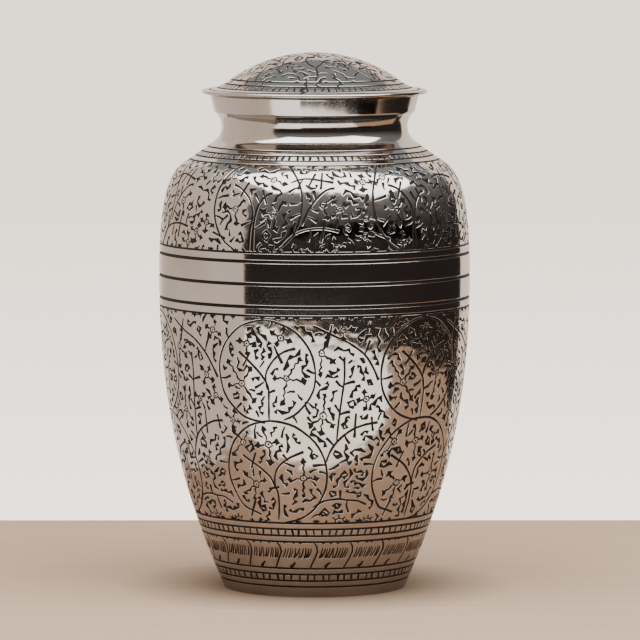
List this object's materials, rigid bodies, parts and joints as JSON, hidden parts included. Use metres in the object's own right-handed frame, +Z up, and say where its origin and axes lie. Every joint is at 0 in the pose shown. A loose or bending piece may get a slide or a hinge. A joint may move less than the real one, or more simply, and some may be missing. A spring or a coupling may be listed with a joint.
{
  "type": "cremation urn",
  "caption": "Hollow metal vase with a narrow collared neck and a domed lid that lifts off, for holding ashes; border lines cut round belly, foot, neck and lid.",
  "frame": {"origin": "centre of the foot ring, on the surface that the urn stands on", "axes": "+Z up the urn's axis of turning; -Y is the side that the picture shows"},
  "size_m": [0.1552, 0.1552, 0.2672],
  "materials": {
    "body_metal": "polished nickel-plated brass, engraved, with blackened grooves",
    "lid_metal": "polished nickel-plated brass, engraved, with blackened grooves"
  },
  "bodies": {
    "root": {"urn_body": "body_metal", "lid": "lid_metal"}
  },
  "joints": []
}
